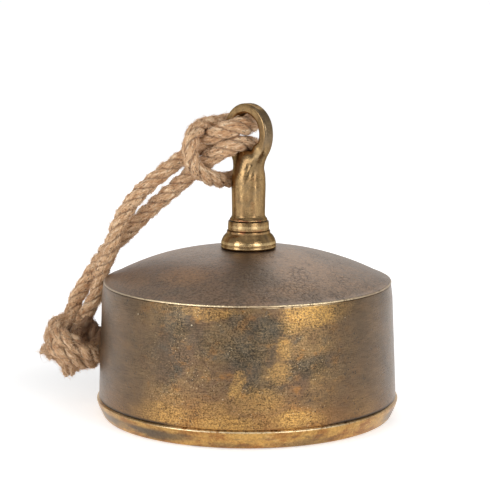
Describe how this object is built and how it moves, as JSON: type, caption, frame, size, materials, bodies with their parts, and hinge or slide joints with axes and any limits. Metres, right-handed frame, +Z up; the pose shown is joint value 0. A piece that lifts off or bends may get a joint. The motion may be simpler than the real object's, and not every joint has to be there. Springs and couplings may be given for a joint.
{
  "type": "door stop weight",
  "caption": "Round free-standing brass weight with a domed top, a stem with an eye, and a knotted jute rope looped through the eye to lift it by.",
  "frame": {"origin": "centre of the underside, on the surface that the weight stands on", "axes": "+Z up along the stem; the eye stands in the XZ plane, so its hole runs along Y; the rope hangs towards -X and -Y"},
  "size_m": [0.1634, 0.1508, 0.1552],
  "materials": {
    "felt": "matte",
    "brass_foot": "satin",
    "brass_wall": "satin",
    "brass_dome": "satin",
    "fill": "matte",
    "steel": "satin",
    "brass_stem": "satin",
    "jute": "matte"
  },
  "bodies": {
    "weight": {"foot_pad": "felt", "base_pan": "brass_foot", "wall_band": "brass_wall", "dome_cover": "brass_dome", "ballast": "fill", "tie_rod": "steel", "base_washer": "steel", "lock_washer": "steel", "base_nut": "steel", "stem_flange": "brass_stem", "stem_collar": "brass_stem", "eye_stem": "brass_stem"},
    "rope": {"rope": "jute", "end_knot": "jute", "rope_tail_a": "jute", "rope_tail_b": "jute"}
  },
  "joints": [
    {"name": "rope_swing", "type": "hinge", "parent": "weight", "child": "rope", "pos_m": [0, 0, 0.1405], "axis": [0, 1, 0], "range_deg": [0, 130]}
  ]
}
